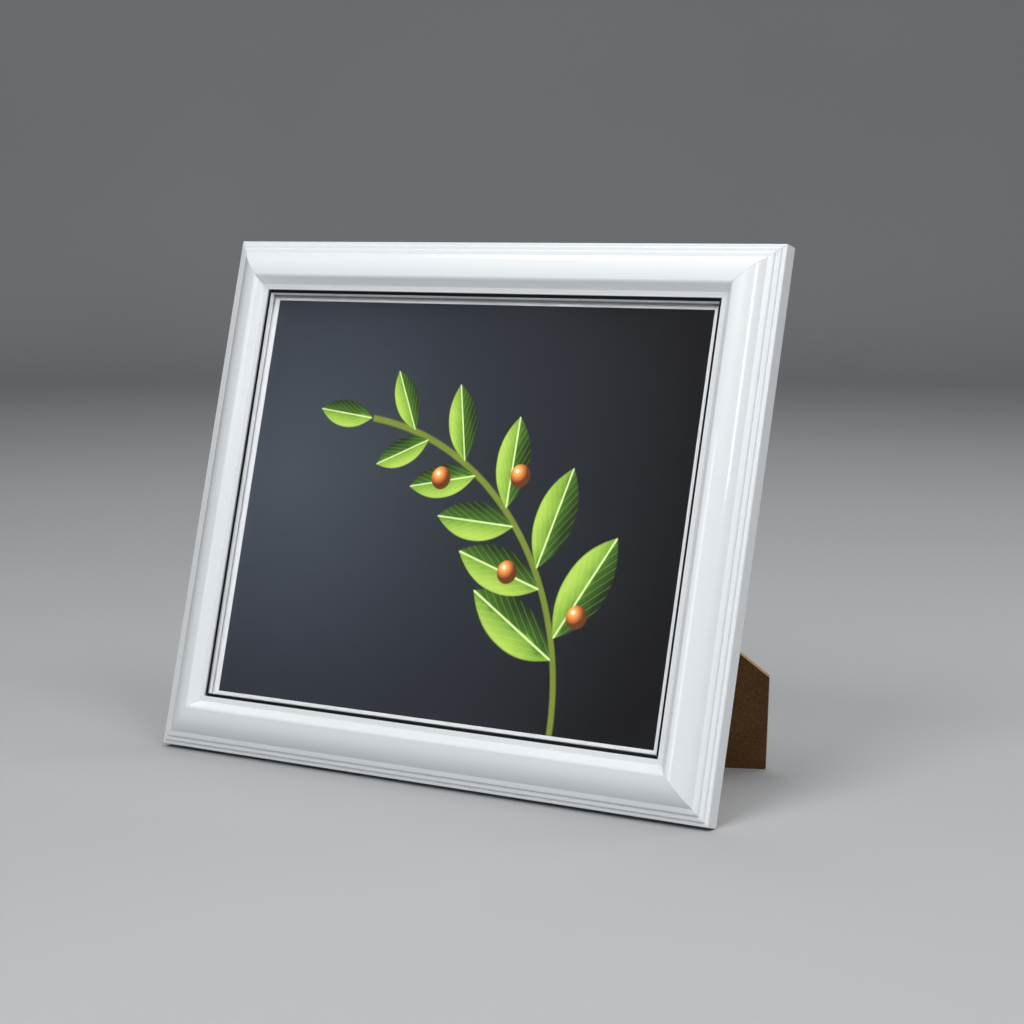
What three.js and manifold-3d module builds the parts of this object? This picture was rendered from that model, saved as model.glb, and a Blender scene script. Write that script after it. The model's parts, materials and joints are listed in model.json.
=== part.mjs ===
// Picture frame in white lacquered wood, leaning back on its folding easel leg.
// Millimetres, +Z up, front towards -Y, origin at the bottom centre of the object's box.
import * as THREE from 'three';
import { mergeVertices } from 'three/addons/utils/BufferGeometryUtils.js';
import Module from 'manifold-3d';

const { degToRad } = THREE.MathUtils;
const { sin, cos, tan, PI } = Math;

// Sheets in the rebate, from the front to the back
const GLASS_WIDTH = 254;
const GLASS_HEIGHT = 203;
const GLASS_T = 2;
const PRINT_T = 0.3;
const CARD_T = 3;
const BOARD_T = 3;
const BOARD_RECESS = 0.4; // back board below the rails' backs
const EDGE_CLEARANCE = 0.5; // round the sheets, inside the rebate
const SEAT = 0.3; // between pieces that rest on each other

// Rail moulding, from its outer edge inwards
const TREAD_OUTER = 1.75;
const TREAD_MIDDLE = 2.2;
const TREAD_INNER = 2.55;
const TREAD_SLOPE = 0.5; // rise of the inner tread to the bolster's foot
const STEP_RISE = 1.35;
const BOLSTER_RUN = 12.3;
const BOLSTER_RISE = 5.75;
const BOLSTER_START = degToRad(53); // slope at its foot
const BOLSTER_END = degToRad(4.3); // slope at the ridge
const RIDGE_ROUND = 0.9; // to each side of the ridge
const RIDGE_RUN = 3.4; // from the ridge down to the crease beside the lip
const RIDGE_FALL = 3.95;
const LIP_FLAT = 2.5;
const LIP_T = 1.5;
const LIP_COVER = 4.7; // lip over the rebate
const FRONT_ROUND = 0.9;
const STEP_ROUND = 0.35;
const BACK_ROUND = 0.7;
const MITRE_GAP = 0.2; // at each mitred end, along the rail

// Silver slip under the lip
const SLIP_T = 1;
const SLIP_REVEAL = 1.95; // slip showing beyond the lip
const BEAD_RISE = 1.4; // rounded bead above the slip's flat

// Corner nails, driven across each mitre from the back
const NAIL_LEG = 5;
const NAIL_T = 0.5;
const NAIL_DEPTH = 6;
const NAIL_SET = 0.3; // below the rails' backs
const NAIL_CLEARANCE = 0.15;
const NAIL_OUTER = 5; // from the rail's outer edge
const NAIL_INNER = 13;

// Turn buttons and their screws
const BUTTON_HALF_WIDTH = 5;
const BUTTON_T = 1;
const BUTTON_TAIL = 2; // round end's centre behind the pivot
const BUTTON_GRIP = 6.5; // over the back board
const BUTTON_SPREAD = 100; // between the two on a long rail
const SCREW_R = 1.5;
const SCREW_DEPTH = 7;
const SCREW_POINT = 2.5;
const SCREW_HEAD_R = 3.2;
const SCREW_HEAD_RIM = 0.5;
const SCREW_HEAD_DOME = 1.5;
const RECESS_LENGTH = 3;
const RECESS_WIDTH = 0.8;
const RECESS_DEPTH = 1.1;

// Easel leg, hinged on a diagonal so that the frame can stand either way up
const TILT = degToRad(15); // frame back from upright
const LEG_OPEN = degToRad(34); // leg away from the back board
const LEG_DIAGONAL = degToRad(45); // hinge pin up from level
const HINGE_ASIDE = 2.4; // hinge from the middle of the back board
const HINGE_RISE = 16;
const LEG_T = 3;
const LEG_SHOULDER = 64;
const LEG_NECK = 27;
const LEG_FOLD_GAP = 1.2; // leg to back board when folded flat

// Strut hinge
const LEAF_T = 0.8;
const LEAF_WIDTH = 22;
const LEAF_LENGTH = 14;
const KNUCKLE_MIDDLE = 9; // the leg's knuckle, along the pin
const PIN_R = 1;
const PIN_PROUD = 0.6;
const PIN_CHAMFER = 0.3;
const RIVET_R = 1.2;
const RIVET_HEAD_R = 2.4;
const RIVET_HEAD_DOME = 0.9;
const RIVET_FLARE = 0.6;
const RIVET_INSET = 4.5; // from the leaf's edges

// Facets
const CURVE_STEPS = 8;
const ROUND_STEPS = 16;
const DOME_STEPS = 3;
const MERGE_DISTANCE = 1e-4;

const FINISH = {
  lacquer: { color: 0xeef1f3, roughness: 0.22, metalness: 0 },
  silver: { color: 0xc9ccd0, roughness: 0.15, metalness: 1 },
  glass: { color: 0xe6eeee, roughness: 0.03, metalness: 0, transparent: true, opacity: 0.2 },
  print: { color: 0x444a52, roughness: 0.45, metalness: 0 },
  card: { color: 0xb7a98d, roughness: 0.9, metalness: 0 },
  hardboard: { color: 0x4a3018, roughness: 0.75, metalness: 0 },
  steel: { color: 0xb4b6b8, roughness: 0.35, metalness: 1 },
  brass: { color: 0xb9974f, roughness: 0.35, metalness: 1 },
};

const wasm = await Module();
wasm.setup();

function toSolid(geometry) {
  const bare = geometry.clone();
  bare.deleteAttribute('normal');
  bare.deleteAttribute('uv');
  const merged = mergeVertices(bare, MERGE_DISTANCE);
  const corners = Array.from(merged.index.array);
  const triangles = [];
  for (let i = 0; i < corners.length; i += 3) {
    const [a, b, c] = corners.slice(i, i + 3);
    if (a !== b && b !== c && c !== a) {
      triangles.push(a, b, c);
    }
  }
  return new wasm.Manifold(new wasm.Mesh({
    numProp: 3,
    vertProperties: new Float32Array(merged.attributes.position.array),
    triVerts: new Uint32Array(triangles),
  }));
}

function toGeometry(solid) {
  const mesh = solid.getMesh();
  const geometry = new THREE.BufferGeometry();
  geometry.setAttribute('position', new THREE.BufferAttribute(new Float32Array(mesh.vertProperties), 3));
  geometry.setIndex(new THREE.BufferAttribute(new Uint32Array(mesh.triVerts), 1));
  geometry.computeVertexNormals();
  return geometry;
}

function cut(geometry, cutters) {
  const whole = toSolid(geometry);
  return toGeometry(cutters.map(toSolid).reduce((solid, cutter) => solid.subtract(cutter), whole));
}

function join(geometries) {
  return toGeometry(geometries.map(toSolid).reduce((solid, other) => solid.add(other)));
}

function addPiece(parent, name, geometry, finish) {
  const mesh = new THREE.Mesh(geometry, new THREE.MeshStandardMaterial(FINISH[finish]));
  mesh.name = name;
  parent.add(mesh);
  return mesh;
}

function outlineOf(points) {
  return new THREE.Shape(points.map(([x, z]) => new THREE.Vector2(x, z)));
}

// An outline in X and Z, made solid along Y between two levels
function plate(outline, yLow, yHigh) {
  const settings = { depth: yHigh - yLow, bevelEnabled: false, curveSegments: CURVE_STEPS };
  return new THREE.ExtrudeGeometry(outline, settings).rotateX(PI / 2).translate(0, yHigh, 0);
}

// A round solid about the Y axis, from [radius, height] points that go up
function turned(points) {
  return new THREE.LatheGeometry(points.map(([r, y]) => new THREE.Vector2(r, y)), ROUND_STEPS);
}

// Points of a low dome, from its rim to its top on the axis
function dome(radius, base, height) {
  const rim = Array.from({ length: DOME_STEPS }, (_, i) => (i / DOME_STEPS) * (PI / 2));
  return [...rim.map((angle) => [radius * cos(angle), base + height * sin(angle)]), [0, base + height]];
}

// A round bar along X
function bar(radius, length) {
  return new THREE.CylinderGeometry(radius, radius, length, ROUND_STEPS).rotateZ(PI / 2);
}

// Depths, forwards from the rails' backs
const boardBack = BOARD_RECESS;
const cardBack = boardBack + BOARD_T + SEAT;
const printBack = cardBack + CARD_T + SEAT;
const glassBack = printBack + PRINT_T + SEAT;
const slipBack = glassBack + GLASS_T + SEAT;
const slipFace = slipBack + SLIP_T;
const lipBack = slipFace + SEAT;
const lipFace = lipBack + LIP_T;
const ridgeFace = lipFace + RIDGE_FALL;
const footFace = ridgeFace - BOLSTER_RISE;
const treadInnerFace = footFace - TREAD_SLOPE;
const treadMiddleFace = treadInnerFace - STEP_RISE;
const treadOuterFace = treadMiddleFace - STEP_RISE;

// Widths, inwards from the rails' outer edges
const middleEdge = TREAD_OUTER;
const innerEdge = middleEdge + TREAD_MIDDLE;
const bolsterFoot = innerEdge + TREAD_INNER;
const ridgeLine = bolsterFoot + BOLSTER_RUN;
const crease = ridgeLine + RIDGE_RUN;
const lipEdge = crease + LIP_FLAT;
const rebateWall = lipEdge - LIP_COVER;

const outerWidth = GLASS_WIDTH + 2 * (EDGE_CLEARANCE + rebateWall);
const outerHeight = GLASS_HEIGHT + 2 * (EDGE_CLEARANCE + rebateWall);

// Section of a rail: x is the width inwards, y the depth forwards
function railSection() {
  const startSlope = tan(BOLSTER_START);
  const endSlope = tan(BOLSTER_END);
  const bendRun = (BOLSTER_RISE - BOLSTER_RUN * endSlope) / (startSlope - endSlope);
  const ridgeStart = ridgeLine - RIDGE_ROUND;
  const fallStart = ridgeLine + RIDGE_ROUND;
  const section = new THREE.Shape();
  section.moveTo(rebateWall, 0);
  section.lineTo(rebateWall, lipBack);
  section.lineTo(lipEdge, lipBack);
  section.lineTo(lipEdge, lipFace);
  section.lineTo(crease, lipFace);
  section.lineTo(fallStart, ridgeFace - RIDGE_FALL * (RIDGE_ROUND / RIDGE_RUN));
  section.quadraticCurveTo(ridgeLine, ridgeFace, ridgeStart, ridgeFace - RIDGE_ROUND * endSlope);
  section.quadraticCurveTo(bolsterFoot + bendRun, footFace + bendRun * startSlope, bolsterFoot, footFace);
  section.lineTo(innerEdge + STEP_ROUND, treadInnerFace);
  section.quadraticCurveTo(innerEdge, treadInnerFace, innerEdge, treadInnerFace - STEP_ROUND);
  section.lineTo(innerEdge, treadMiddleFace);
  section.lineTo(middleEdge + STEP_ROUND, treadMiddleFace);
  section.quadraticCurveTo(middleEdge, treadMiddleFace, middleEdge, treadMiddleFace - STEP_ROUND);
  section.lineTo(middleEdge, treadOuterFace);
  section.lineTo(FRONT_ROUND, treadOuterFace);
  section.quadraticCurveTo(0, treadOuterFace, 0, treadOuterFace - FRONT_ROUND);
  section.lineTo(0, BACK_ROUND);
  section.quadraticCurveTo(0, 0, BACK_ROUND, 0);
  section.closePath();
  return section;
}

// Section of a slip, on the same axes
function slipSection() {
  const outer = rebateWall + SEAT;
  const beadOuter = lipEdge + SEAT;
  const sight = lipEdge + SLIP_REVEAL;
  const beadFace = slipFace + BEAD_RISE;
  const section = new THREE.Shape();
  section.moveTo(outer, slipBack);
  section.lineTo(sight, slipBack);
  section.lineTo(sight, slipFace);
  section.quadraticCurveTo(sight, beadFace, beadOuter, beadFace);
  section.lineTo(beadOuter, slipFace);
  section.lineTo(outer, slipFace);
  section.closePath();
  return section;
}

// A section run along X and mitred at both ends: Z is inwards from the outer edge, Y backwards
function mitred(section, length) {
  const settings = { depth: length, bevelEnabled: false, curveSegments: CURVE_STEPS };
  const geometry = new THREE.ExtrudeGeometry(section, settings);
  const place = geometry.attributes.position;
  for (let i = 0; i < place.count; i += 1) {
    const end = Math.sign(place.getZ(i) - length / 2);
    const inwards = place.getX(i);
    place.setXYZ(i, end * (length / 2 - inwards - MITRE_GAP), -place.getY(i), inwards);
  }
  return geometry;
}

// Outline of a corner nail across the mitre at one end of a rail, end being 1 or -1 along X
function nailOutline(length, inset, end, clearance) {
  const half = NAIL_T / 2 + clearance;
  const reach = NAIL_LEG + clearance;
  const apex = length / 2 - inset;
  const points = [
    [apex + half, inset - half],
    [apex + half, inset + reach],
    [apex - half, inset + reach],
    [apex - half, inset + half],
    [apex - reach, inset + half],
    [apex - reach, inset - half],
  ];
  return outlineOf(points.map(([x, z]) => [end * x, z]));
}

function cornerNail(length, inset) {
  return plate(nailOutline(length, inset, 1, 0), -NAIL_DEPTH, -NAIL_SET);
}

function nailSlot(length, inset, end) {
  const outline = nailOutline(length, inset, end, NAIL_CLEARANCE);
  return plate(outline, -NAIL_DEPTH - NAIL_CLEARANCE, NAIL_CLEARANCE);
}

// A turn button about its pivot, its tip towards +Z
function turnButton(tip) {
  const outline = new THREE.Shape();
  outline.absarc(0, tip - BUTTON_HALF_WIDTH, BUTTON_HALF_WIDTH, 0, PI);
  outline.absarc(0, -BUTTON_TAIL, BUTTON_HALF_WIDTH, PI, 2 * PI);
  const hole = new THREE.Path();
  hole.absarc(0, 0, SCREW_R + SEAT, 0, 2 * PI);
  outline.holes.push(hole);
  return plate(outline, SEAT, SEAT + BUTTON_T);
}

function buttonScrew() {
  const headSeat = SEAT + BUTTON_T + SEAT;
  const domeBase = headSeat + SCREW_HEAD_RIM;
  const body = turned([
    [0, -SCREW_DEPTH],
    [SCREW_R, SCREW_POINT - SCREW_DEPTH],
    [SCREW_R, headSeat],
    [SCREW_HEAD_R, headSeat],
    ...dome(SCREW_HEAD_R, domeBase, SCREW_HEAD_DOME),
  ]);
  const recess = new THREE.BoxGeometry(RECESS_LENGTH, 2 * RECESS_DEPTH, RECESS_WIDTH);
  recess.translate(0, domeBase + SCREW_HEAD_DOME, 0);
  return cut(body, [recess, recess.clone().rotateY(PI / 2)]);
}

function screwHole() {
  return turned([
    [0, -SCREW_DEPTH - SEAT],
    [SCREW_R + SEAT, SCREW_POINT - SCREW_DEPTH - SEAT],
    [SCREW_R + SEAT, SEAT],
    [0, SEAT],
  ]);
}

// Leaning back, with its origin at the middle of the bottom back edge
const face = new THREE.Group();
face.rotation.x = -TILT;
const middle = new THREE.Group();
middle.position.z = outerHeight / 2;
face.add(middle);

// The four sides, each with the corner at its +X end, its length and the frame's size across it
const sides = [
  { name: 'bottom', corner: 'bottom_right', length: outerWidth, across: outerHeight, turn: 0 },
  { name: 'right', corner: 'top_right', length: outerHeight, across: outerWidth, turn: -PI / 2 },
  { name: 'top', corner: 'top_left', length: outerWidth, across: outerHeight, turn: PI },
  { name: 'left', corner: 'bottom_left', length: outerHeight, across: outerWidth, turn: PI / 2 },
];
const pivotLine = rebateWall / 2;
const buttonTip = rebateWall - pivotLine + EDGE_CLEARANCE + BUTTON_GRIP;

for (const { name, corner, length, across, turn } of sides) {
  const edge = new THREE.Group();
  edge.rotation.y = turn;
  edge.position.set((-across / 2) * sin(turn), 0, (-across / 2) * cos(turn));
  middle.add(edge);

  const pivots = length > across ? [-BUTTON_SPREAD / 2, BUTTON_SPREAD / 2] : [0];
  const nailInsets = [NAIL_OUTER, NAIL_INNER];
  const cutters = [
    ...nailInsets.flatMap((inset) => [nailSlot(length, inset, 1), nailSlot(length, inset, -1)]),
    ...pivots.map((pivot) => screwHole().translate(pivot, 0, pivotLine)),
  ];
  addPiece(edge, `rail_${name}`, cut(mitred(railSection(), length), cutters), 'lacquer');
  addPiece(edge, `slip_${name}`, mitred(slipSection(), length), 'silver');
  addPiece(edge, `corner_nail_${corner}_outer`, cornerNail(length, NAIL_OUTER), 'steel');
  addPiece(edge, `corner_nail_${corner}_inner`, cornerNail(length, NAIL_INNER), 'steel');
  pivots.forEach((pivot, i) => {
    const button = addPiece(edge, `turn_button_${name}_${i + 1}`, turnButton(buttonTip), 'brass');
    const screw = addPiece(edge, `button_screw_${name}_${i + 1}`, buttonScrew(), 'steel');
    button.position.set(pivot, 0, pivotLine);
    screw.position.set(pivot, 0, pivotLine);
  });
}

// Strut hinge on the back board: X along the pin, Y backwards, the leg towards -Z
const knuckleR = (LEG_FOLD_GAP + LEG_T + LEAF_T) / 2;
const knuckleClear = knuckleR + SEAT;
const hinge = new THREE.Group();
hinge.position.set(HINGE_ASIDE, knuckleClear - boardBack, HINGE_RISE);
hinge.rotation.y = -LEG_DIAGONAL;
hinge.updateMatrix();
middle.add(hinge);
const leg = new THREE.Group();
leg.rotation.x = LEG_OPEN;
hinge.add(leg);

const boardLeafBack = -knuckleR; // the leaf's face on the board, from the pin
const legLeafBack = knuckleR - LEAF_T; // the leaf's face on the leg
const legOuter = legLeafBack - SEAT;
const legInner = legOuter - LEG_T;

// A rivet through a leaf and what it holds, from the leaf's inner face, with a flush flared tail
function rivet(grip) {
  const tail = -SEAT - grip;
  const headSeat = LEAF_T + SEAT;
  return turned([
    [0, tail],
    [RIVET_R + RIVET_FLARE, tail],
    [RIVET_R, tail + RIVET_FLARE],
    [RIVET_R, headSeat],
    ...dome(RIVET_HEAD_R, headSeat, RIVET_HEAD_DOME),
  ]);
}

function rivetHole(grip) {
  const tail = -SEAT - grip;
  const radius = RIVET_R + SEAT;
  return turned([
    [0, tail - SEAT],
    [radius + RIVET_FLARE, tail - SEAT],
    [radius + RIVET_FLARE, tail],
    [radius, tail + RIVET_FLARE],
    [radius, LEAF_T + SEAT],
    [0, LEAF_T + SEAT],
  ]);
}

const leafHalf = LEAF_WIDTH / 2;
const rivetLine = LEAF_LENGTH - RIVET_INSET;
const rivetPlaces = [RIVET_INSET - leafHalf, leafHalf - RIVET_INSET];
const boardRivetAt = (x) => [x, boardLeafBack, rivetLine];
const legRivetAt = (x) => [x, legLeafBack, -rivetLine];
const boardHoles = rivetPlaces.map((x) => rivetHole(BOARD_T).translate(...boardRivetAt(x)));
const legHoles = rivetPlaces.map((x) => rivetHole(LEG_T).translate(...legRivetAt(x)));
const pinBore = bar(PIN_R + SEAT, 2 * LEAF_WIDTH);

const tongueHalf = KNUCKLE_MIDDLE / 2;
const notchHalf = tongueHalf + SEAT;
const endKnuckle = leafHalf - notchHalf;
const endKnuckleAt = (leafHalf + notchHalf) / 2;

// The board's leaf carries the two end knuckles
function boardLeaf() {
  const outline = outlineOf([
    [-leafHalf, 0],
    [-notchHalf, 0],
    [-notchHalf, knuckleClear],
    [notchHalf, knuckleClear],
    [notchHalf, 0],
    [leafHalf, 0],
    [leafHalf, LEAF_LENGTH],
    [-leafHalf, LEAF_LENGTH],
  ]);
  const knuckles = [-endKnuckleAt, endKnuckleAt].map((x) => bar(knuckleR, endKnuckle).translate(x, 0, 0));
  const leaf = join([plate(outline, boardLeafBack, boardLeafBack + LEAF_T), ...knuckles]);
  return cut(leaf, [pinBore, ...boardHoles]);
}

// The leg's leaf carries the middle knuckle, and a heel that stops against the board's leaf
function legLeaf() {
  const heel = (legLeafBack * (1 + cos(LEG_OPEN)) - SEAT) / sin(LEG_OPEN);
  const outline = outlineOf([
    [-tongueHalf, heel],
    [-tongueHalf, -knuckleClear],
    [-leafHalf, -knuckleClear],
    [-leafHalf, -LEAF_LENGTH],
    [leafHalf, -LEAF_LENGTH],
    [leafHalf, -knuckleClear],
    [tongueHalf, -knuckleClear],
    [tongueHalf, heel],
  ]);
  const leaf = join([plate(outline, legLeafBack, legLeafBack + LEAF_T), bar(knuckleR, KNUCKLE_MIDDLE)]);
  return cut(leaf, [pinBore, ...legHoles]);
}

function hingePin() {
  const end = leafHalf + PIN_PROUD;
  return turned([
    [0, -end],
    [PIN_R - PIN_CHAMFER, -end],
    [PIN_R, PIN_CHAMFER - end],
    [PIN_R, end - PIN_CHAMFER],
    [PIN_R - PIN_CHAMFER, end],
    [0, end],
  ]).rotateZ(PI / 2);
}

// The leg's foot is cut to stand on the table: z rises along the pin, falls along the leg
// and changes through the leg's thickness
const tableLevel = Math.min(
  ...railSection().getPoints(CURVE_STEPS).map((point) => point.x * cos(TILT) + point.y * sin(TILT)),
);
const pinLevel = (outerHeight / 2 + HINGE_RISE) * cos(TILT) - hinge.position.y * sin(TILT);
const riseAlongPin = sin(LEG_DIAGONAL) * cos(TILT);
const fallAlongLeg = cos(LEG_DIAGONAL) * cos(LEG_OPEN) * cos(TILT) + sin(LEG_OPEN) * sin(TILT);
const riseThroughLeg = cos(LEG_DIAGONAL) * sin(LEG_OPEN) * cos(TILT) - cos(LEG_OPEN) * sin(TILT);
const lowerFace = Math.min(legInner * riseThroughLeg, legOuter * riseThroughLeg);
const legLength = (pinLevel + lowerFace - tableLevel) / fallAlongLeg;

// A point with two feet edges, one for each way up, then shoulders that narrow to the neck
function easelLeg() {
  const shoulderAt = legLength - (LEG_SHOULDER / 2) * (riseAlongPin / fallAlongLeg);
  const outline = outlineOf([
    [-LEG_NECK / 2, -knuckleClear],
    [-LEG_SHOULDER / 2, -shoulderAt],
    [0, -legLength],
    [LEG_SHOULDER / 2, -shoulderAt],
    [LEG_NECK / 2, -knuckleClear],
  ]);
  return cut(plate(outline, legInner, legOuter), legHoles);
}

function sheet(back, thickness) {
  const x = GLASS_WIDTH / 2;
  const z = GLASS_HEIGHT / 2;
  return plate(outlineOf([[-x, -z], [x, -z], [x, z], [-x, z]]), -back - thickness, -back);
}

const boardHolesInPlace = boardHoles.map((hole) => hole.clone().applyMatrix4(hinge.matrix));
addPiece(middle, 'glass_pane', sheet(glassBack, GLASS_T), 'glass');
addPiece(middle, 'print_sheet', sheet(printBack, PRINT_T), 'print');
addPiece(middle, 'backing_card', sheet(cardBack, CARD_T), 'card');
addPiece(middle, 'back_board', cut(sheet(boardBack, BOARD_T), boardHolesInPlace), 'hardboard');

addPiece(hinge, 'hinge_board_leaf', boardLeaf(), 'steel');
addPiece(hinge, 'hinge_pin', hingePin(), 'steel');
addPiece(leg, 'hinge_leg_leaf', legLeaf(), 'steel');
addPiece(leg, 'easel_leg', easelLeg(), 'hardboard');
rivetPlaces.forEach((x, i) => {
  addPiece(hinge, `board_rivet_${i + 1}`, rivet(BOARD_T), 'steel').position.set(...boardRivetAt(x));
  addPiece(leg, `leg_rivet_${i + 1}`, rivet(LEG_T), 'steel').position.set(...legRivetAt(x));
});

const picture = new THREE.Group();
picture.add(face);
const box = new THREE.Box3().setFromObject(picture, true);
const centre = box.getCenter(new THREE.Vector3());
face.position.set(-centre.x, -centre.y, -box.min.z);

export default picture;
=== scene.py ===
# White lacquered picture frame on its easel leg: the looks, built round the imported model
import json
import math

import bpy
from mathutils import Matrix, Vector


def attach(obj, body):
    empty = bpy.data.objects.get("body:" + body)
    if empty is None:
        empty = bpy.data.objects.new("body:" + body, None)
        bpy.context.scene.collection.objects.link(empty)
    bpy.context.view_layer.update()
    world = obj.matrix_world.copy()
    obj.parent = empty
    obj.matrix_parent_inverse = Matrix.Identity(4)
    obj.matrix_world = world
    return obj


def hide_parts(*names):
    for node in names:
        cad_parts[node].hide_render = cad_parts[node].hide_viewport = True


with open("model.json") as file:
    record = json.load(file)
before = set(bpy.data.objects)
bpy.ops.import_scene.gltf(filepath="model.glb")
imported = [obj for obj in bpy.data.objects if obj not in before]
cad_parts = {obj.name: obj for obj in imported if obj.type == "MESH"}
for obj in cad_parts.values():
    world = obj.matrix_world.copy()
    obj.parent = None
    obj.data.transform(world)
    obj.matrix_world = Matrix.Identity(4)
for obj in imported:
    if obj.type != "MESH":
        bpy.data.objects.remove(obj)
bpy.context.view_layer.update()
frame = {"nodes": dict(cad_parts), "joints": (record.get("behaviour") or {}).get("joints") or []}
mm = 0.001
print("stage 1: packed model loaded,", len(frame["nodes"]), "nodes")

# Pieces are modelled in millimetres in the frame of what carries them, then put in place

moulding = {  # the rail's section: widths run inwards from the outer edge, depths forwards from the back
    "middleTread": 1.75, "innerTread": 3.95, "bolsterFoot": 6.5, "ridge": 18.8, "crease": 22.2,
    "lipEdge": 24.7, "rebate": 20.0,
    "outerFace": 7.7, "middleFace": 9.05, "innerFace": 10.4, "footFace": 10.9, "ridgeFace": 16.65,
    "lipFace": 12.7, "lipBack": 11.2,
    "startSlope": 53, "endSlope": 4.3, "ridgeRound": 0.9,  # the bolster swells from one slope to the other
    "frontRound": 0.9, "stepRound": 1.1, "backRound": 0.7, "lipRound": 0.22,
    "cornerFill": 0.18,  # lacquer pooled in the inner corners
    "bareEnd": 0.5,  # bare wood ends this far behind the lip's edge
    "mitreGap": 0.05, "mitreEase": 0.1, "mitreSegments": 2,
    "curveSteps": 14, "bolsterSteps": 28, "roundSteps": 5,
}
moulding["pivotLine"] = moulding["rebate"] / 2  # the turn buttons' pivots run along here

joints = {joint["name"]: joint for joint in frame["joints"]}
pivots = {joint["child"]: Vector(joint["pos_m"]) for joint in frame["joints"]}
across = Vector((1, 0, 0))
backwards = Vector(joints["button_top_1_turn"]["axis"]).normalized()  # out of the frame's back
upwards = across.cross(backwards)
lowPivot = (pivots["button_bottom_1"] + pivots["button_bottom_2"]) / 2
highPivot = (pivots["button_top_1"] + pivots["button_top_2"]) / 2
outerWidth = 2 * (pivots["button_right"].x / mm + moulding["pivotLine"])
outerHeight = (highPivot - lowPivot).length / mm + 2 * moulding["pivotLine"]
lean = math.atan2(upwards.y, upwards.z)


def frameOf(origin, x, y):
    axes = Matrix((x, y, x.cross(y))).transposed().to_4x4()
    return Matrix.Translation(origin) @ axes @ Matrix.Scale(mm, 4)


# the face: x across, y backwards, z up, from the middle of the bottom back edge
faceFrame = frameOf(lowPivot - upwards * moulding["pivotLine"] * mm, across, backwards)

longSides, shortSides = ("Bottom", "Top"), ("Right", "Left")
sides = {  # turn about the face's middle, length of the rail and size across it
    "Bottom": {"turn": 0, "length": outerWidth, "across": outerHeight},
    "Right": {"turn": -90, "length": outerHeight, "across": outerWidth},
    "Top": {"turn": 180, "length": outerWidth, "across": outerHeight},
    "Left": {"turn": 90, "length": outerHeight, "across": outerWidth},
}


def edgeFrame(side):  # x along the rail, y backwards, z inwards from its outer edge
    turn = Matrix.Rotation(math.radians(sides[side]["turn"]), 4, "Y")
    middle = Matrix.Translation((0, 0, outerHeight / 2))
    return faceFrame @ middle @ turn @ Matrix.Translation((0, 0, -sides[side]["across"] / 2))


# Modelling steps
limits = {  # in mm, in degrees, and as shares of a normal
    "weld": 0.001, "sliver": 0.002, "near": 0.01,
    "easeFrom": 40, "smoothTo": 30,
    "facing": 0.9, "edgeOn": 0.1, "mitred": 0.5,
}


def pick(piece):  # alone selected, and active
    bpy.ops.object.select_all(action="DESELECT")
    piece.select_set(True)
    bpy.context.view_layer.objects.active = piece


def startPoint(point):
    bpy.ops.object.select_all(action="DESELECT")
    bpy.ops.mesh.primitive_plane_add(size=1)
    bpy.ops.object.mode_set(mode="EDIT")
    bpy.ops.mesh.select_mode(type="VERT")
    bpy.ops.mesh.merge(type="CENTER")
    bpy.ops.transform.translate(value=point)


def drawLine(points):
    startPoint(points[0])
    for here, there in zip(points, points[1:]):
        step = Vector(there) - Vector(here)
        bpy.ops.mesh.extrude_vertices_move(TRANSFORM_OT_translate={"value": step})
    bpy.ops.mesh.select_all(action="SELECT")


def pullOut(points, reach):  # a flat outline, filled and drawn out to a solid
    drawLine(points)
    bpy.ops.mesh.edge_face_add()
    bpy.ops.mesh.extrude_region_move(TRANSFORM_OT_translate={"value": reach})
    bpy.ops.mesh.select_all(action="SELECT")
    bpy.ops.mesh.normals_make_consistent(inside=False)


def turnRound(points, axis, steps):  # a half outline, from axis to axis, turned to a round solid
    drawLine(points)
    bpy.ops.mesh.spin(steps=steps, angle=math.tau, center=(0, 0, 0), axis=axis)
    bpy.ops.mesh.select_all(action="SELECT")
    bpy.ops.mesh.remove_doubles(threshold=limits["weld"])
    bpy.ops.mesh.normals_make_consistent(inside=False)


def selectFaces(chosen):
    mesh = bpy.context.object.data
    bpy.ops.mesh.select_mode(type="FACE")
    bpy.ops.mesh.select_all(action="DESELECT")
    bpy.ops.object.mode_set(mode="OBJECT")
    for polygon in mesh.polygons:
        polygon.select = chosen(polygon)
    bpy.ops.object.mode_set(mode="EDIT")


def leaveEdit(name):
    bpy.ops.object.mode_set(mode="OBJECT")
    piece = bpy.context.object
    piece.name = name
    piece.data.name = name
    return piece


def finishWith(piece, kind, **settings):  # one modifier, set and applied
    pick(piece)
    modifier = piece.modifiers.new(kind.title(), kind)
    for name, value in settings.items():
        setattr(modifier, name, value)
    bpy.ops.object.modifier_apply(modifier=modifier.name)


def combine(piece, other, operation):
    finishWith(piece, "BOOLEAN", operation=operation, object=other, solver="EXACT")
    bpy.data.objects.remove(other)


def easeEdges(piece, width, segments=2):
    finishWith(
        piece, "BEVEL", width=width, segments=segments, limit_method="ANGLE",
        angle_limit=math.radians(limits["easeFrom"]), harden_normals=False, use_clamp_overlap=True,
    )


def copyOf(piece, name):
    pick(piece)
    bpy.ops.object.duplicate()
    twin = bpy.context.object
    twin.name = name
    twin.data.name = name
    return twin


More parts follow.
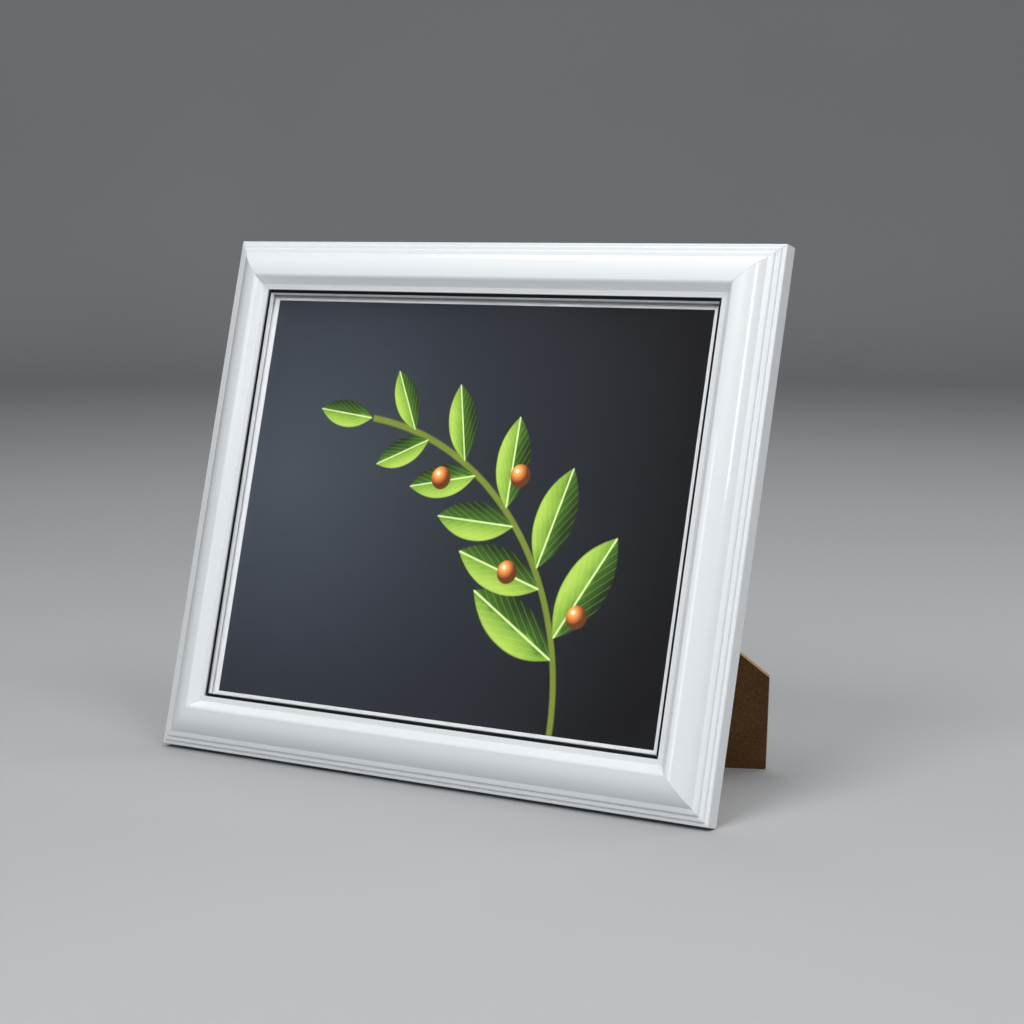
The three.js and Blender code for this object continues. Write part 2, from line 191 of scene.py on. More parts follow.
def settle(piece, place, body, node, materials):  # cleaned, placed, shaded and given to its body
    pick(piece)
    bpy.ops.object.mode_set(mode="EDIT")
    bpy.ops.mesh.select_all(action="SELECT")
    bpy.ops.mesh.remove_doubles(threshold=limits["sliver"])
    bpy.ops.mesh.dissolve_degenerate(threshold=limits["sliver"])  # what the cuts left
    bpy.ops.object.mode_set(mode="OBJECT")
    piece.matrix_world = place
    bpy.ops.object.transform_apply(location=True, rotation=True, scale=True)
    bpy.ops.object.shade_smooth_by_angle(angle=math.radians(limits["smoothTo"]))
    # flats stay flat beside their rounds
    finishWith(piece, "WEIGHTED_NORMAL", mode="FACE_AREA", keep_sharp=True)
    for material in materials:
        piece.data.materials.append(material)
    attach(piece, body)
    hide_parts(node)


def bend(start, control, end, steps):  # points of a curve after its start, up to its end
    points = []
    for i in range(1, steps + 1):
        t = i / steps
        point = Vector(start) * (1 - t) ** 2 + Vector(control) * 2 * t * (1 - t) + Vector(end) * t * t
        points.append(tuple(point))
    return points


def roundOff(corners, steps):  # corners are (across, up, round); a round of 0 stays sharp
    points = []
    for i, (x, y, size) in enumerate(corners):
        corner = Vector((x, y))
        if not size:
            points.append((x, y))
            continue
        before = (Vector(corners[i - 1][:2]) - corner).normalized() * size + corner
        after = (Vector(corners[(i + 1) % len(corners)][:2]) - corner).normalized() * size + corner
        points += [tuple(before)] + bend(before, corner, after, steps)
    return points


# Materials: the sizes of patterns and the depths of bumps are in mm


def linear(hexColour):  # sRGB hex to the shader's linear colour
    channels = [int(hexColour[i:i + 2], 16) / 255 for i in (1, 3, 5)]
    return (*[c / 12.92 if c <= 0.04045 else ((c + 0.055) / 1.055) ** 2.4 for c in channels], 1)


def addNode(material, kind, settings=None, links=None, stops=()):  # stops: a ramp's places and hex colours
    node = material.node_tree.nodes.new(kind)
    for name, value in (settings or {}).items():
        if isinstance(name, str) and hasattr(node, name):
            setattr(node, name, value)
        else:
            node.inputs[name].default_value = value
    for name, source in (links or {}).items():
        material.node_tree.links.new(source, node.inputs[name])
    if stops:
        ramp = node.color_ramp.elements
        while len(ramp) < len(stops):
            ramp.new(1)
        for element, (position, colour) in zip(ramp, stops):
            element.position = position
            element.color = linear(colour)
    return node


def newMaterial(name):
    material = bpy.data.materials.new(name)
    material.use_nodes = True
    material.node_tree.nodes.clear()
    return material


def finishMaterial(material, settings, links):
    shader = addNode(material, "ShaderNodeBsdfPrincipled", settings, links)
    addNode(material, "ShaderNodeOutputMaterial", None, {"Surface": shader.outputs[0]})
    return material


def perMm(size):  # texture scale, per metre, of a pattern whose features are this many mm
    return 1 / (size * mm)


def alongRail(material, side):  # Object coordinates turned so that x runs along the rail
    coordinates = addNode(material, "ShaderNodeTexCoord")
    upright = math.pi / 2 if side in shortSides else 0
    level = addNode(
        material, "ShaderNodeMapping",
        {"vector_type": "TEXTURE", "Rotation": (-lean, 0, 0)}, {"Vector": coordinates.outputs["Object"]},
    )
    return addNode(
        material, "ShaderNodeMapping",
        {"vector_type": "TEXTURE", "Rotation": (0, upright, 0)}, {"Vector": level.outputs[0]},
    )


# White gloss lacquer sprayed on wood: bright cool white, a clear sheen, a faint ripple from the spray gun
lacquerLook = {
    "tones": [(0.2, "#F0F4F7"), (0.8, "#F1F5F8")], "cloud": 60, "roughFrom": 0.28, "roughTo": 0.31,
    "ior": 1.5, "coat": 0.8, "coatRough": 0.05, "peel": 3, "bump": 0.03, "bumpDepth": 0.05,
}


def sprayedLacquer(look):
    material = newMaterial("sprayedWhiteLacquer")
    coordinates = addNode(material, "ShaderNodeTexCoord")
    cloud = addNode(
        material, "ShaderNodeTexNoise", {"Scale": perMm(look["cloud"]), "Detail": 0},
        {"Vector": coordinates.outputs["Object"]},
    )
    colour = addNode(
        material, "ShaderNodeValToRGB", None, {"Fac": cloud.outputs["Fac"]}, look["tones"]
    )
    peel = addNode(
        material, "ShaderNodeTexNoise", {"Scale": perMm(look["peel"]), "Detail": 1},
        {"Vector": coordinates.outputs["Object"]},
    )
    rough = addNode(
        material, "ShaderNodeMapRange",
        {"To Min": look["roughFrom"], "To Max": look["roughTo"]}, {"Value": cloud.outputs["Fac"]},
    )
    bump = addNode(
        material, "ShaderNodeBump",
        {"Strength": look["bump"], "Distance": look["bumpDepth"] * mm},
        {"Height": peel.outputs["Fac"]},
    )
    return finishMaterial(
        material,
        {"IOR": look["ior"], "Coat Weight": look["coat"], "Coat Roughness": look["coatRough"]},
        {"Base Color": colour.outputs[0], "Roughness": rough.outputs[0], "Normal": bump.outputs[0]},
    )


# Planed softwood left bare at the back: pale straw with darker grain lines along the rail
bareWoodLook = {
    "tones": [(0.52, "#B98F5C"), (0.78, "#DDBF92")], "rough": 0.72,
    "grain": 1.1, "stretch": 55, "wander": 30, "wanderShare": 0.35,
    "bump": 0.3, "bumpDepth": 0.15,
}


def planedWood(look, side):
    material = newMaterial("planedBareWood" + side)
    along = alongRail(material, side)
    stretched = addNode(
        material, "ShaderNodeMapping", {"Scale": (1 / look["stretch"], 1, 1)},
        {"Vector": along.outputs[0]},
    )
    wander = addNode(
        material, "ShaderNodeTexNoise", {"Scale": perMm(look["wander"]), "Detail": 2},
        {"Vector": along.outputs[0]},
    )
    grain = addNode(
        material, "ShaderNodeTexNoise",
        {"Scale": perMm(look["grain"]), "Detail": 3, "Roughness": 0.65},
        {"Vector": stretched.outputs[0]},
    )
    mixed = addNode(
        material, "ShaderNodeMath", {"operation": "MULTIPLY_ADD", 1: look["wanderShare"]},
        {0: wander.outputs["Fac"], 2: grain.outputs["Fac"]},
    )
    colour = addNode(
        material, "ShaderNodeValToRGB", None, {"Fac": mixed.outputs[0]}, look["tones"]
    )
    bump = addNode(
        material, "ShaderNodeBump",
        {"Strength": look["bump"], "Distance": look["bumpDepth"] * mm},
        {"Height": grain.outputs["Fac"]},
    )
    return finishMaterial(
        material, {"Roughness": look["rough"]},
        {"Base Color": colour.outputs[0], "Normal": bump.outputs[0]},
    )


# Rolled silver foil on the slip's bead: a bright metal with fine drawn streaks along its length
silverLook = {
    "name": "rolledSilverFoil", "tones": [(0.3, "#BABEC4"), (0.6, "#E4E7EA")],
    "streak": 0.5, "stretch": 120, "metallic": 1, "specular": 0.5, "roughFrom": 0.3, "roughTo": 0.42,
}
# Dull black brushed on beside the silver as painted shade: it stands for the shadow in the gap under the
# lip and a painted dark reflection in the silver, a deep line along the lip
paintedShadeLook = {
    "name": "paintedShadeBlack", "tones": [(0.3, "#0B0C0D"), (0.6, "#1A1B1D")],
    "streak": 0.4, "stretch": 60, "metallic": 0, "specular": 0.12, "roughFrom": 0.5, "roughTo": 0.62,
}


def drawnFinish(look, side):
    material = newMaterial(look["name"] + side)
    along = alongRail(material, side)
    stretched = addNode(
        material, "ShaderNodeMapping", {"Scale": (1 / look["stretch"], 1, 1)}, {"Vector": along.outputs[0]}
    )
    streak = addNode(
        material, "ShaderNodeTexNoise", {"Scale": perMm(look["streak"]), "Detail": 2},
        {"Vector": stretched.outputs[0]},
    )
    colour = addNode(
        material, "ShaderNodeValToRGB", None, {"Fac": streak.outputs["Fac"]}, look["tones"]
    )
    rough = addNode(
        material, "ShaderNodeMapRange", {"To Min": look["roughFrom"], "To Max": look["roughTo"]},
        {"Value": streak.outputs["Fac"]},
    )
    return finishMaterial(
        material, {"Metallic": look["metallic"], "Specular IOR Level": look["specular"]},
        {"Base Color": colour.outputs[0], "Roughness": rough.outputs[0]},
    )


# Clear float glass: nearly invisible from the front, with a slight roll that bends its reflections
glassLook = {"clear": "#FFFFFF", "rough": 0.01, "ior": 1.52, "ripple": 90, "bump": 0.05, "bumpDepth": 0.05}


def floatGlass(look):
    material = newMaterial("clearFloatGlass")
    coordinates = addNode(material, "ShaderNodeTexCoord")
    ripple = addNode(
        material, "ShaderNodeTexNoise", {"Scale": perMm(look["ripple"]), "Detail": 1},
        {"Vector": coordinates.outputs["Object"]},
    )
    bump = addNode(
        material, "ShaderNodeBump",
        {"Strength": look["bump"], "Distance": look["bumpDepth"] * mm},
        {"Height": ripple.outputs["Fac"]},
    )
    return finishMaterial(
        material,
        {"Base Color": linear(look["clear"]), "Roughness": look["rough"], "IOR": look["ior"],
         "Transmission Weight": 1},
        {"Normal": bump.outputs[0]},
    )


# Hardboard, wood fibre pressed hot: dark brown with a tight fleck, a dull waxy sheen
hardboardLook = {
    "tones": [(0.42, "#49321A"), (0.64, "#67492B"), (0.86, "#83603D")],
    "fleck": 0.7, "mottle": 14, "mottleShare": 0.25,
    "roughFrom": 0.5, "roughTo": 0.72, "specular": 0.2, "bump": 0.35, "bumpDepth": 0.12,
}


def pressedHardboard(look):
    material = newMaterial("pressedHardboardFace")
    coordinates = addNode(material, "ShaderNodeTexCoord")
    fleck = addNode(
        material, "ShaderNodeTexNoise",
        {"Scale": perMm(look["fleck"]), "Detail": 4, "Roughness": 0.7},
        {"Vector": coordinates.outputs["Object"]},
    )
    mottle = addNode(
        material, "ShaderNodeTexNoise", {"Scale": perMm(look["mottle"]), "Detail": 3},
        {"Vector": coordinates.outputs["Object"]},
    )
    mixed = addNode(
        material, "ShaderNodeMath", {"operation": "MULTIPLY_ADD", 1: look["mottleShare"]},
        {0: mottle.outputs["Fac"], 2: fleck.outputs["Fac"]},
    )
    colour = addNode(
        material, "ShaderNodeValToRGB", None, {"Fac": mixed.outputs[0]}, look["tones"]
    )
    rough = addNode(
        material, "ShaderNodeMapRange",
        {"To Min": look["roughFrom"], "To Max": look["roughTo"]},
        {"Value": fleck.outputs["Fac"]},
    )
    bump = addNode(
        material, "ShaderNodeBump",
        {"Strength": look["bump"], "Distance": look["bumpDepth"] * mm},
        {"Height": fleck.outputs["Fac"]},
    )
    return finishMaterial(
        material, {"Specular IOR Level": look["specular"]},
        {"Base Color": colour.outputs[0], "Roughness": rough.outputs[0], "Normal": bump.outputs[0]},
    )


# The same board where a saw has cut it: lighter, with dry rough fibre
sawnLook = {
    "tones": [(0.35, "#8A6A44"), (0.65, "#C9A676")], "fibre": 0.5, "rough": 0.85,
    "bump": 0.5, "bumpDepth": 0.15,
}


def sawnHardboard(look):
    material = newMaterial("sawnHardboardEdge")
    coordinates = addNode(material, "ShaderNodeTexCoord")
    fibre = addNode(
        material, "ShaderNodeTexNoise", {"Scale": perMm(look["fibre"]), "Detail": 4, "Roughness": 0.7},
        {"Vector": coordinates.outputs["Object"]},
    )
    colour = addNode(
        material, "ShaderNodeValToRGB", None, {"Fac": fibre.outputs["Fac"]}, look["tones"]
    )
    bump = addNode(
        material, "ShaderNodeBump", {"Strength": look["bump"], "Distance": look["bumpDepth"] * mm},
        {"Height": fibre.outputs["Fac"]},
    )
    return finishMaterial(
        material, {"Roughness": look["rough"]}, {"Base Color": colour.outputs[0], "Normal": bump.outputs[0]}
    )


# Zinc-plated steel, barrel plated: cool grey with a soft cloudy shine
zincLook = {
    "tones": [(0.3, "#9EA3A7"), (0.65, "#C9CCCE")], "cloud": 1.6, "roughFrom": 0.44, "roughTo": 0.28,
}
# Brass-plated steel, tumbled: warm yellow with a slightly rubbed shine
brassLook = {
    "tones": [(0.3, "#A9823C"), (0.65, "#D8B566")], "cloud": 2.2, "roughFrom": 0.44, "roughTo": 0.28,
}


def platedMetal(name, look):
    material = newMaterial(name)
    coordinates = addNode(material, "ShaderNodeTexCoord")
    cloud = addNode(
        material, "ShaderNodeTexNoise", {"Scale": perMm(look["cloud"]), "Detail": 4, "Roughness": 0.6},
        {"Vector": coordinates.outputs["Object"]},
    )
    colour = addNode(material, "ShaderNodeValToRGB", None, {"Fac": cloud.outputs["Fac"]}, look["tones"])
    rough = addNode(
        material, "ShaderNodeMapRange", {"To Min": look["roughFrom"], "To Max": look["roughTo"]},
        {"Value": cloud.outputs["Fac"]},
    )
    return finishMaterial(
        material, {"Metallic": 1}, {"Base Color": colour.outputs[0], "Roughness": rough.outputs[0]}
    )


# Grey-brown pulp card, rolled: dull, with short fibres
cardLook = {"tones": [(0.35, "#A08E70"), (0.65, "#BCAB8C")], "fibre": 1.2, "rough": 0.9}


def pulpCard(look):
    material = newMaterial("rolledPulpCard")
    coordinates = addNode(material, "ShaderNodeTexCoord")
    fibre = addNode(
        material, "ShaderNodeTexNoise", {"Scale": perMm(look["fibre"]), "Detail": 4},
        {"Vector": coordinates.outputs["Object"]},
    )
    colour = addNode(
        material, "ShaderNodeValToRGB", None, {"Fac": fibre.outputs["Fac"]}, look["tones"]
    )
    return finishMaterial(material, {"Roughness": look["rough"]}, {"Base Color": colour.outputs[0]})


# Photo print on semi-gloss paper: a white margin round a dark slate picture of a leafy sprig with berries
printLook = {
    "left": -118.07, "right": 117.77, "bottom": 28.1, "top": 215.05,  # the picture's edges on the face
    "paper": "#CACDCF", "fibre": 0.6, "rough": 0.32, "specular": 0.25, "bump": 0.05, "bumpDepth": 0.02,
    "pool": (-96, 12), "poolReach": 230, "ground": [(0.0, "#40464F"), (0.45, "#292D34"), (0.95, "#0C0C0F")],
}
sprig = {
    "centre": (-66, -92), "radius": 132, "stem": "#6F7F2E", "stemFade": (1.95, 0.91), "tip": 84,
    "pairs": [13, 27, 41, 55, 69], "stagger": 4, "spread": 46,  # degrees round the arc, and off the stem
    "firstLength": 52, "lastLength": 30, "slender": 0.42, "taper": 2.2, "soft": 0.05,
    "middle": 0.53,  # a leaf's middle, in lengths from its root
    "greens": [(0.1, "#1C300D"), (0.46, "#3B641A"), (0.54, "#6F9A32"), (0.9, "#A3C250")],
    "fold": 0.5, "mottle": 11, "drift": (0.3, 0.7),
    "vein": "#C9DB96", "midrib": 0.07, "midribFade": 3,
    "sideGap": 0.26, "sideSlant": 0.9, "sideWidth": 0.3, "sideShow": 0.14,
}
berries = {
    "places": [(20, 14), (34, -13), (48, 15), (62, -12)], "radius": 5.2, "soft": 0.06, "lit": (-0.35, 0.4),
    "colours": [(0.08, "#F6EBDD"), (0.25, "#E8A65A"), (0.7, "#B4642A"), (1.0, "#5E3417")],
}


def photoPrint(look):
    material = newMaterial("semiGlossPhotoPrint")
    middle = ((look["left"] + look["right"]) / 2, 0, (look["bottom"] + look["top"]) / 2)
    half = (look["right"] - middle[0], look["top"] - middle[2])
    factor, below, above, blended = 0, 6, 7, 2  # a colour Mix node's sockets
    coordinates = addNode(material, "ShaderNodeTexCoord")
    sheet = addNode(  # x across and y up the sheet, in mm from the picture's middle
        material, "ShaderNodeMapping",
        {"vector_type": "TEXTURE", "Location": faceFrame @ Vector(middle),
         "Rotation": (math.pi / 2 - lean, 0, 0), "Scale": (mm, mm, mm)},
        {"Vector": coordinates.outputs["Object"]},
    ).outputs[0]

    def local(place, turn, size):  # the sheet's coordinates about one motif
        moved = addNode(
            material, "ShaderNodeMapping",
            {"vector_type": "TEXTURE", "Location": (*place, 0), "Rotation": (0, 0, turn),
             "Scale": (*size, 1)},
            {"Vector": sheet},
        )
        flat = addNode(
            material, "ShaderNodeVectorMath", {"operation": "MULTIPLY", 1: (1, 1, 0)}, {0: moved.outputs[0]}
        )
        return flat.outputs[0]

    # the dark ground, palest in a pool beside the sprig
    distance = addNode(
        material, "ShaderNodeVectorMath", {"operation": "LENGTH"},
        {0: local(look["pool"], 0, (look["poolReach"], look["poolReach"]))},
    )
    ground = addNode(
        material, "ShaderNodeValToRGB", None, {"Fac": distance.outputs["Value"]}, look["ground"]
    )

    # the stem, an arc that ends at the tip leaf
    centre, radius = Vector(sprig["centre"]), sprig["radius"]
    ring = addNode(
        material, "ShaderNodeVectorMath", {"operation": "LENGTH"}, {0: local(centre, 0, (radius, radius))}
    )
    away = addNode(
        material, "ShaderNodeMath", {"operation": "SUBTRACT", 1: 1}, {0: ring.outputs["Value"]}
    )
    reach = addNode(material, "ShaderNodeMath", {"operation": "ABSOLUTE"}, {0: away.outputs[0]})
    line = addNode(
        material, "ShaderNodeMapRange",
        {"interpolation_type": "SMOOTHSTEP",
         "From Min": sprig["stemFade"][0] / radius, "From Max": sprig["stemFade"][1] / radius},
        {"Value": reach.outputs[0]},
    )
    parts = addNode(material, "ShaderNodeSeparateXYZ", None, {0: local(centre, 0, (radius, radius))})
    short = addNode(
        material, "ShaderNodeMath",
        {"operation": "GREATER_THAN", 1: math.cos(math.radians(sprig["tip"]))}, {0: parts.outputs["X"]},
    )
    stem = addNode(
        material, "ShaderNodeMath", {"operation": "MULTIPLY"}, {0: line.outputs[0], 1: short.outputs[0]}
    )
    picture = addNode(
        material, "ShaderNodeMix", {"data_type": "RGBA", above: linear(sprig["stem"])},
        {factor: stem.outputs[0], below: ground.outputs[0]},
    ).outputs[blended]

    # leaves in pairs up the stem, and one at its tip; each is folded along its midrib and veined
    mottle = addNode(
        material, "ShaderNodeTexNoise", {"Scale": 1 / sprig["mottle"], "Detail": 3}, {"Vector": sheet}
    )
    drift = addNode(
        material, "ShaderNodeMapRange", {"To Min": sprig["drift"][0], "To Max": sprig["drift"][1]},
        {"Value": mottle.outputs["Fac"]},
    )
    leaves = []
    for i, angle in enumerate(sprig["pairs"]):
        share = i / (len(sprig["pairs"]) - 1)
        length = sprig["firstLength"] + share * (sprig["lastLength"] - sprig["firstLength"])
        leaves.append((angle, sprig["spread"], length))
        leaves.append((angle + sprig["stagger"], -sprig["spread"], length))
    leaves.append((sprig["tip"], 0, sprig["lastLength"]))
    for angle, spread, length in leaves:
        root = centre + radius * Vector((math.cos(math.radians(angle)), math.sin(math.radians(angle))))
        turn = math.radians(angle + 90 + spread)
        place = root + Vector((math.cos(turn), math.sin(turn))) * length * sprig["middle"]
        size = (length / 2, length / 2 * sprig["slender"])
        parts = addNode(material, "ShaderNodeSeparateXYZ", None, {0: local(place, turn, size)})
        endways = addNode(material, "ShaderNodeMath", {"operation": "ABSOLUTE"}, {0: parts.outputs["X"]})
        taper = addNode(
            material, "ShaderNodeMath", {"operation": "POWER", 1: sprig["taper"]}, {0: endways.outputs[0]}
        )
        aside = addNode(material, "ShaderNodeMath", {"operation": "ABSOLUTE"}, {0: parts.outputs["Y"]})
        rim = addNode(
            material, "ShaderNodeMath", {"operation": "ADD"}, {0: taper.outputs[0], 1: aside.outputs[0]}
        )
        mask = addNode(
            material, "ShaderNodeMapRange",
            {"interpolation_type": "SMOOTHSTEP",
             "From Min": 1 + sprig["soft"], "From Max": 1 - sprig["soft"]},
            {"Value": rim.outputs[0]},
        )
        fold = addNode(
            material, "ShaderNodeMath", {"operation": "MULTIPLY_ADD", 1: sprig["fold"]},
            {0: parts.outputs["Y"], 2: drift.outputs[0]},
        )
        blade = addNode(
            material, "ShaderNodeValToRGB", None, {"Fac": fold.outputs[0]}, sprig["greens"]
        )
        midrib = addNode(
            material, "ShaderNodeMapRange",
            {"interpolation_type": "SMOOTHSTEP",
             "From Min": sprig["midrib"], "From Max": sprig["midrib"] / sprig["midribFade"]},
            {"Value": aside.outputs[0]},
        )
        slant = addNode(
            material, "ShaderNodeMath", {"operation": "MULTIPLY_ADD", 1: -sprig["sideSlant"]},
            {0: aside.outputs[0], 2: parts.outputs["X"]},
        )
        gap = sprig["sideGap"] / 2
        rib = addNode(material, "ShaderNodeMath", {"operation": "PINGPONG", 1: gap}, {0: slant.outputs[0]})
        side = addNode(
            material, "ShaderNodeMapRange",
            {"interpolation_type": "SMOOTHSTEP",
             "From Min": gap * sprig["sideWidth"], "From Max": 0, "To Max": sprig["sideShow"]},
            {"Value": rib.outputs[0]},
        )
        veins = addNode(
            material, "ShaderNodeMath", {"operation": "MAXIMUM"}, {0: midrib.outputs[0], 1: side.outputs[0]}
        )
        leaf = addNode(
            material, "ShaderNodeMix", {"data_type": "RGBA", above: linear(sprig["vein"])},
            {factor: veins.outputs[0], below: blade.outputs[0]},
        )
        picture = addNode(
            material, "ShaderNodeMix", {"data_type": "RGBA"},
            {factor: mask.outputs[0], below: picture, above: leaf.outputs[blended]},
        ).outputs[blended]

    # round berries beside the stem, lit from the upper left
    for angle, offset in berries["places"]:
        ray = Vector((math.cos(math.radians(angle)), math.sin(math.radians(angle))))
        place = centre + ray * (radius + offset)
        size = (berries["radius"], berries["radius"])
        rim = addNode(material, "ShaderNodeVectorMath", {"operation": "LENGTH"}, {0: local(place, 0, size)})
        mask = addNode(
            material, "ShaderNodeMapRange",
            {"interpolation_type": "SMOOTHSTEP",
             "From Min": 1 + berries["soft"], "From Max": 1 - berries["soft"]},
            {"Value": rim.outputs["Value"]},
        )
        lit = addNode(
            material, "ShaderNodeVectorMath", {"operation": "LENGTH"},
            {0: local(place + Vector(berries["lit"]) * berries["radius"], 0, size)},
        )
        berry = addNode(
            material, "ShaderNodeValToRGB", None, {"Fac": lit.outputs["Value"]}, berries["colours"]
        )
        picture = addNode(
            material, "ShaderNodeMix", {"data_type": "RGBA"},
            {factor: mask.outputs[0], below: picture, above: berry.outputs[0]},
        ).outputs[blended]

    # the picture ends at its edges, and the paper shows beyond
    inside = addNode(
        material, "ShaderNodeVectorMath", {"operation": "ABSOLUTE"}, {0: local((0, 0), 0, half)}
    )
    parts = addNode(material, "ShaderNodeSeparateXYZ", None, {0: inside.outputs[0]})
    furthest = addNode(
        material, "ShaderNodeMath", {"operation": "MAXIMUM"}, {0: parts.outputs["X"], 1: parts.outputs["Y"]}
    )
    beyond = addNode(
        material, "ShaderNodeMath", {"operation": "GREATER_THAN", 1: 1}, {0: furthest.outputs[0]}
    )
    fibre = addNode(
        material, "ShaderNodeTexNoise", {"Scale": 1 / look["fibre"], "Detail": 2}, {"Vector": sheet}
    )
    colour = addNode(
        material, "ShaderNodeMix", {"data_type": "RGBA", above: linear(look["paper"])},
        {factor: beyond.outputs[0], below: picture},
    )
    bump = addNode(
        material, "ShaderNodeBump",
        {"Strength": look["bump"], "Distance": look["bumpDepth"] * mm},
        {"Height": fibre.outputs["Fac"]},
    )
    return finishMaterial(
        material, {"Roughness": look["rough"], "Specular IOR Level": look["specular"]},
        {"Base Color": colour.outputs[blended], "Normal": bump.outputs[0]},
    )


lacquer = sprayedLacquer(lacquerLook)
bareWood = {side: planedWood(bareWoodLook, side) for side in sides}
silver = {side: drawnFinish(silverLook, side) for side in sides}
# the black beside the silver is painted shade and a painted dark reflection along the gap under the lip
paintedShade = {side: drawnFinish(paintedShadeLook, side) for side in sides}
hardboard = pressedHardboard(hardboardLook)
sawnEdge = sawnHardboard(sawnLook)
zinc = platedMetal("barrelPlatedZincSteel", zincLook)
brass = platedMetal("tumbledBrassPlate", brassLook)
print("stage 2: materials made,", len(bpy.data.materials), "in the file")


# Rails: the moulding's section drawn, pulled out to length, mitred and slotted for the corner nails
nails = {  # proud is how far a slot's cutter stands out of the back
    "leg": 5, "thickness": 0.5, "depth": 6, "proud": 1, "clearance": 0.15, "insets": (5, 13),
}


def railSection():
    m = moulding
    startSlope, endSlope = (math.tan(math.radians(m[name])) for name in ("startSlope", "endSlope"))
    rise, run = m["ridgeFace"] - m["footFace"], m["ridge"] - m["bolsterFoot"]
    bendRun = (rise - run * endSlope) / (startSlope - endSlope)
    foot = (m["bolsterFoot"], m["footFace"])
    swell = (m["bolsterFoot"] + bendRun, m["footFace"] + bendRun * startSlope)
    crest, valley = (m["ridge"], m["ridgeFace"]), (m["crease"], m["lipFace"])
    fallStart = Vector(crest).lerp(Vector(valley), m["ridgeRound"] / (m["crease"] - m["ridge"]))
    ridgeEnd = (m["ridge"] - m["ridgeRound"], m["ridgeFace"] - m["ridgeRound"] * endSlope)
    steps = [
        (*foot, m["cornerFill"]),
        (m["innerTread"], m["innerFace"], m["stepRound"]),
        (m["innerTread"], m["middleFace"], m["cornerFill"]),
        (m["middleTread"], m["middleFace"], m["stepRound"]),
        (m["middleTread"], m["outerFace"], m["cornerFill"]),
        (0, m["outerFace"], m["frontRound"]), (0, 0, m["backRound"]),
        (m["rebate"], 0, m["cornerFill"]), (m["rebate"], m["lipBack"], 0),
        (m["lipEdge"], m["lipBack"], m["cornerFill"]), (m["lipEdge"], m["lipFace"], m["lipRound"]),
        (*valley, m["cornerFill"]),
    ]
    swelling = [tuple(fallStart)] + bend(fallStart, crest, ridgeEnd, m["curveSteps"])
    swelling += bend(ridgeEnd, swell, foot, m["bolsterSteps"])[:-1]
    return roundOff(steps + [(*point, 0) for point in swelling], m["roundSteps"])


def mitredBar(section, length, name):
    start = -length / 2
    pullOut([(start, -depth, width) for width, depth in section], (length, 0, 0))
    for end in (-1, 1):
        bpy.ops.mesh.select_all(action="SELECT")
        bpy.ops.mesh.bisect(
            plane_co=(end * (length / 2 - moulding["mitreGap"]), 0, 0), plane_no=(end, 0, 1),
            use_fill=True, clear_outer=True,
        )
    selectFaces(lambda polygon: abs(polygon.normal.x) > limits["mitred"])
    bpy.ops.mesh.region_to_loop()
    bpy.ops.mesh.bevel(offset=moulding["mitreEase"], segments=moulding["mitreSegments"], affect="EDGES")
    return leaveEdit(name)


def nailSlot(length, inset, end):
    half = nails["thickness"] / 2 + nails["clearance"]
    reach = nails["leg"] + nails["clearance"]
    corner = length / 2 - inset
    outline = [
        (corner + half, inset - half), (corner + half, inset + reach), (corner - half, inset + reach),
        (corner - half, inset + half), (corner - reach, inset + half), (corner - reach, inset - half),
    ]
    pullOut([(end * x, nails["proud"], z) for x, z in outline], (0, -nails["proud"] - nails["depth"], 0))
    return leaveEdit("nailSlot")


def modelRail(length, name):
    rail = mitredBar(railSection(), length, name)
    for inset in nails["insets"]:
        for end in (-1, 1):
            combine(rail, nailSlot(length, inset, end), "DIFFERENCE")
    for polygon in rail.data.polygons:  # bare wood at the back and in the rebate, lacquer elsewhere
        atBack = polygon.normal.y > limits["facing"]
        inwards = polygon.center.z
        inRebate = inwards > moulding["rebate"] - limits["near"] and polygon.normal.y > -limits["edgeOn"]
        behindLip = inwards < moulding["lipEdge"] - moulding["bareEnd"]
        polygon.material_index = 1 if (atBack or inRebate) and behindLip else 0
    return rail


def fitFour(model, name, finishes):  # a bar on each side, the second of a pair copied from the first
    for first, second in (longSides, shortSides):
        bar = model(sides[first]["length"], name + first)
        twin = copyOf(bar, name + second)
        for side, piece in ((first, bar), (second, twin)):
            settle(piece, edgeFrame(side), "frame", f"{name}_{side.lower()}", finishes(side))


fitFour(modelRail, "rail", lambda side: [lacquer, bareWood[side]])
print("stage 3: rails mitred")


# Slips: a flat strip under the lip with a bead at the sight edge,
# black on its outside as painted shade and a painted dark reflection, then silver, and white at its foot
slip = {
    "outer": 20.3, "beadOuter": 24.95, "sight": 26.55, "foot": 26.7,
    "back": 9.64, "face": 10.9, "beadFace": 11.8, "beadSteps": 10,
    "blackTo": 26.15, "whiteBelow": 11.2,  # the silver lies between
}


def slipSection():
    s = slip
    strip = [
        (s["beadOuter"], s["beadFace"]), (s["beadOuter"], s["face"]), (s["outer"], s["face"]),
        (s["outer"], s["back"]), (s["foot"], s["back"]), (s["sight"], s["face"]),
    ]
    bead = bend(strip[-1], (s["sight"], s["beadFace"]), strip[0], s["beadSteps"])
    return strip + bead[:-1]


def modelSlip(length, name):
    strip = mitredBar(slipSection(), length, name)
    for polygon in strip.data.polygons:
        onFace = polygon.center.y < limits["near"] - slip["face"] and polygon.normal.y < limits["edgeOn"]
        # black on the slip's face up to blackTo: painted shade and a painted dark reflection beside the
        # silver
        black = onFace and polygon.center.z < slip["blackTo"]
        white = polygon.center.z > slip["beadOuter"] and polygon.center.y > -slip["whiteBelow"]
        polygon.material_index = 2 if white else 1 if black else 0
    return strip


# each slip's second finish is the black painted shade beside the silver
fitFour(modelSlip, "slip", lambda side: [silver[side], paintedShade[side], lacquer])
print("stage 4: silver slips mitred")


# Glass: a pane with its sharp arrises taken off
pane = {"width": 254, "height": 203, "back": 7.6, "front": 9.6, "arris": 0.3}


